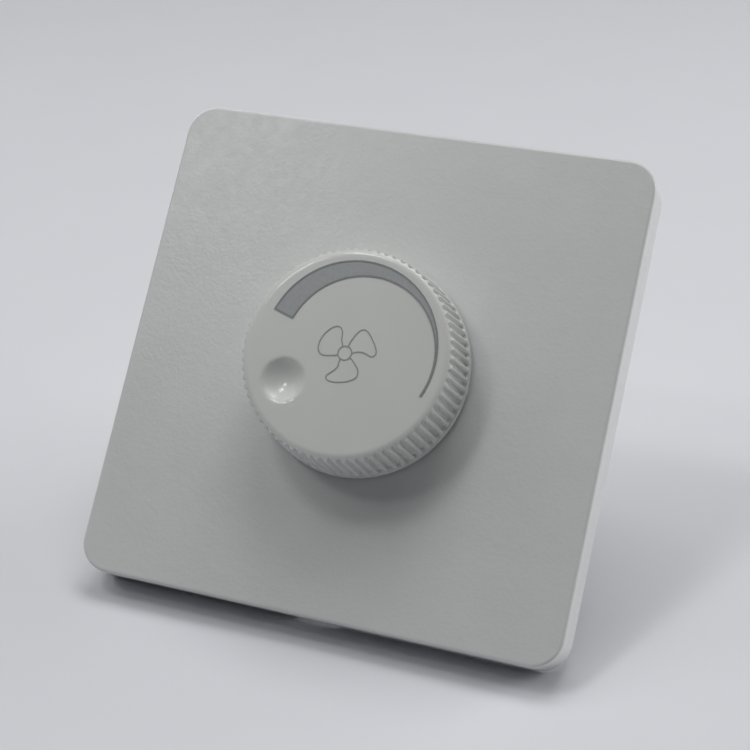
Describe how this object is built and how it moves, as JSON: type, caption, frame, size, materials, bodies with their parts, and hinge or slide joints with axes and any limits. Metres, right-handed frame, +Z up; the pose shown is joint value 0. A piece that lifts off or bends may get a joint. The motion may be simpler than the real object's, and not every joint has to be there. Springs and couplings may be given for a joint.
{
  "type": "rotary fan speed controller",
  "caption": "Square white wall plate with a large ribbed rotary knob that sets a fan's speed, on a mounting frame with a rear housing, screw terminals and phase-control electronics inside.",
  "frame": {"origin": "on the wall plane, at the axis of the control shaft, which is the centre of the square plate", "axes": "+Z up as mounted, -Y out of the wall towards the user, +X to the right seen from the front"},
  "size_m": [0.0864, 0.0441, 0.0864],
  "materials": {
    "white_cover": "fine textured satin",
    "white_knob": "smooth satin",
    "grey_ink": "printed ink, matt",
    "dark_ink": "printed ink, matt",
    "carrier_plastic": "moulded, satin",
    "housing_plastic": "moulded, satin",
    "board_laminate": "solder mask over glass laminate",
    "brass": "machined",
    "zinc_steel": "zinc plated",
    "shaft_aluminium": "turned",
    "phenolic": "pressed laminate",
    "carbon": "printed carbon film",
    "black_plastic": "moulded",
    "ferrite": "sintered, matt",
    "copper_wire": "enamelled copper",
    "capacitor_case": "moulded case",
    "resistor_lacquer": "lacquer",
    "diac_glass": "glass body",
    "terminal_plastic": "moulded, satin"
  },
  "bodies": {
    "base": {"cover_plate": "white_cover", "carrier_frame": "carrier_plastic", "rear_housing": "housing_plastic", "housing_screw_1": "zinc_steel", "housing_screw_2": "zinc_steel", "housing_screw_3": "zinc_steel", "housing_screw_4": "zinc_steel", "threaded_bush": "brass", "bush_nut": "zinc_steel", "bush_washer": "zinc_steel", "pot_front_plate": "zinc_steel", "resistor_wafer": "phenolic", "carbon_track": "carbon", "pot_can": "zinc_steel", "switch_module": "phenolic", "pot_lug_1": "zinc_steel", "pot_lug_2": "zinc_steel", "pot_lug_3": "zinc_steel", "switch_lug_1": "zinc_steel", "switch_lug_2": "zinc_steel", "circuit_board": "board_laminate", "film_capacitor": "capacitor_case", "timing_capacitor": "capacitor_case", "choke_core": "ferrite", "choke_winding": "copper_wire", "resistor_1": "resistor_lacquer", "resistor_2": "resistor_lacquer", "diac": "diac_glass", "triac": "black_plastic", "heat_sink": "shaft_aluminium", "heat_sink_screw": "zinc_steel", "terminal_block": "terminal_plastic", "terminal_contact_1": "brass", "terminal_contact_2": "brass"},
    "knob": {"knob": "white_knob", "knob_scale_fill": "grey_ink", "knob_scale_outline": "dark_ink", "knob_fan_icon": "dark_ink", "control_shaft": "shaft_aluminium", "shaft_circlip": "zinc_steel", "wiper_carrier": "black_plastic", "wiper_spring": "brass"},
    "terminal_screw_1": {"terminal_screw_1": "zinc_steel"},
    "terminal_clamp_1": {"terminal_clamp_1": "brass"},
    "terminal_screw_2": {"terminal_screw_2": "zinc_steel"},
    "terminal_clamp_2": {"terminal_clamp_2": "brass"}
  },
  "joints": [
    {"name": "knob_turn", "type": "hinge", "parent": "base", "child": "knob", "pos_m": [0, 0, 0], "axis": [0, 1, 0], "range_deg": [0, 300]},
    {"name": "terminal_screw_1_turn", "type": "hinge", "parent": "base", "child": "terminal_screw_1", "pos_m": [-0.00381, 0.02, -0.0161], "axis": [0, -1, 0], "range_deg": [0, 1440]},
    {"name": "terminal_clamp_1_rise", "type": "slide", "parent": "base", "child": "terminal_clamp_1", "axis": [0, 1, 0], "range_m": [0, 0.002]},
    {"name": "terminal_screw_2_turn", "type": "hinge", "parent": "base", "child": "terminal_screw_2", "pos_m": [0.00381, 0.02, -0.0161], "axis": [0, -1, 0], "range_deg": [0, 1440]},
    {"name": "terminal_clamp_2_rise", "type": "slide", "parent": "base", "child": "terminal_clamp_2", "axis": [0, 1, 0], "range_m": [0, 0.002]}
  ],
  "couplings": [
    {"joint": "terminal_screw_1_turn", "follows": "terminal_clamp_1_rise", "rad_per_m": 12566},
    {"joint": "terminal_screw_2_turn", "follows": "terminal_clamp_2_rise", "rad_per_m": 12566}
  ]
}
